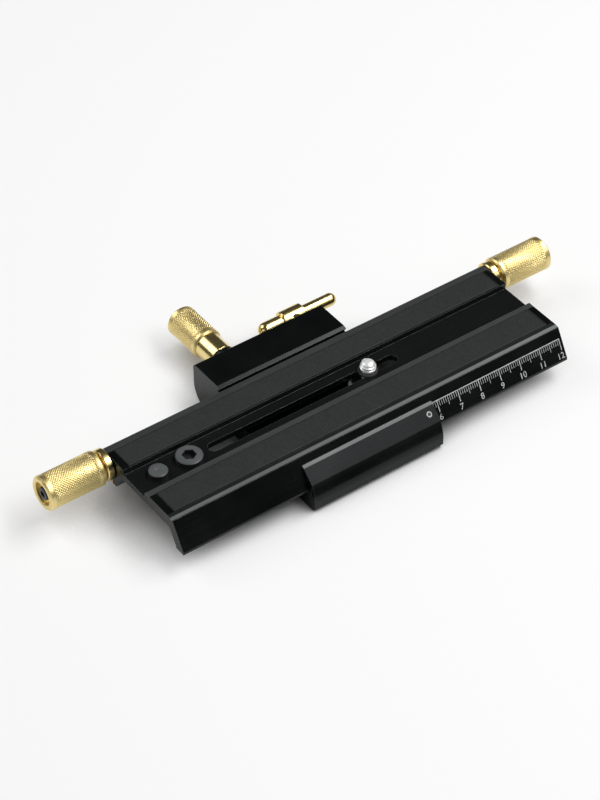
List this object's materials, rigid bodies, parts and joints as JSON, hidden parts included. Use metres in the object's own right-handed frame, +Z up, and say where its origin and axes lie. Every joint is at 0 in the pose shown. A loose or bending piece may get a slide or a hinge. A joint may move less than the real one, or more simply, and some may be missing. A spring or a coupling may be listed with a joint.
{
  "type": "focusing rail",
  "caption": "Long dovetail plate with a captive camera screw, moved through a short tripod carriage by a lead screw with knurled end knobs; side knob locks it and a lever frees the half nut.",
  "frame": {"origin": "centre of the tripod socket's mouth, in the carriage's underside", "axes": "+X along the slide to the right as seen from the scale side, +Y to the lock knob and lever at the rear, +Z up to the camera"},
  "size_m": [0.236, 0.1093, 0.0229],
  "materials": {
    "anodised_black": "satin black anodised",
    "rubber_strip": "fine ribbed, matt",
    "brass_knurled": "fine diamond knurl, polished",
    "brass_plain": "turned, polished",
    "bronze": "turned bearing bronze",
    "steel_bright": "turned, bright",
    "steel_dark": "black oxide",
    "washer_dark": "smooth matt"
  },
  "bodies": {
    "carriage": {"carriage_body": "anodised_black", "base_cover": "anodised_black", "cover_screws": "steel_dark", "tripod_bushing": "steel_bright", "gib_strip": "anodised_black", "gib_screws": "steel_dark", "lever_bushing": "bronze", "shaft_screw": "steel_dark", "index_pin": "steel_bright"},
    "plate": {"slide_plate": "anodised_black", "front_grip_strip": "rubber_strip", "rear_grip_strip": "rubber_strip", "screw_bush_left": "bronze", "screw_bush_right": "bronze", "spare_screw": "steel_dark", "stop_pin": "steel_dark"},
    "drive_screw": {"drive_screw": "steel_bright", "thrust_collar_left": "brass_plain", "thrust_collar_right": "brass_plain", "drive_knob_left": "brass_knurled", "drive_knob_right": "brass_knurled", "knob_screw_left": "steel_dark", "knob_screw_right": "steel_dark"},
    "camera_slide": {"slot_washer": "washer_dark"},
    "camera_lift": {"thrust_washer": "washer_dark"},
    "camera_screw": {"camera_screw": "steel_bright"},
    "lock_shoe": {"lock_shoe": "bronze"},
    "lock_knob": {"lock_screw": "steel_bright", "lock_knob": "brass_knurled", "lock_knob_screw": "steel_dark"},
    "release_lever": {"lever_shaft": "brass_plain", "eccentric_pin": "steel_bright", "lever_bar": "brass_plain"},
    "half_nut": {"half_nut": "bronze", "half_nut_carrier": "steel_dark", "half_nut_screw": "steel_dark"}
  },
  "joints": [
    {"name": "plate_slide", "type": "slide", "parent": "carriage", "child": "plate", "axis": [1, 0, 0], "range_m": [-0.064, 0.056]},
    {"name": "drive_screw_turn", "type": "hinge", "parent": "plate", "child": "drive_screw", "pos_m": [0.004, 0.0204, 0.01535], "axis": [1, 0, 0], "range_deg": [-23040, 20160]},
    {"name": "camera_screw_slide", "type": "slide", "parent": "plate", "child": "camera_slide", "axis": [1, 0, 0], "range_m": [-0.071, 0.011]},
    {"name": "camera_screw_lift", "type": "slide", "parent": "camera_slide", "child": "camera_lift", "axis": [0, 0, 1], "range_m": [0, 0.0025]},
    {"name": "camera_screw_turn", "type": "hinge", "parent": "camera_lift", "child": "camera_screw", "pos_m": [0.0207, 0.0019, 0.02], "axis": [0, 0, 1], "continuous": true},
    {"name": "lock_shoe_slide", "type": "slide", "parent": "carriage", "child": "lock_shoe", "axis": [0, 1, 0], "range_m": [-0.00017, 0.0015]},
    {"name": "lock_knob_turn", "type": "hinge", "parent": "lock_shoe", "child": "lock_knob", "pos_m": [-0.0155, 0.05, 0.011], "axis": [0, 1, 0], "range_deg": [-60, 540]},
    {"name": "release_lever_turn", "type": "hinge", "parent": "carriage", "child": "release_lever", "pos_m": [0.0197, 0.05, 0.012], "axis": [0, -1, 0], "range_deg": [0, 35]},
    {"name": "half_nut_slide", "type": "slide", "parent": "carriage", "child": "half_nut", "axis": [0, 0, -1], "range_m": [0, 0.0013]}
  ],
  "couplings": [
    {"joint": "drive_screw_turn", "follows": "plate_slide", "rad_per_m": 6283.2},
    {"joint": "lock_knob_turn", "follows": "lock_shoe_slide", "rad_per_m": 6283.2},
    {"joint": "half_nut_slide", "follows": "release_lever_turn", "m_per_rad": 0.0020657}
  ]
}
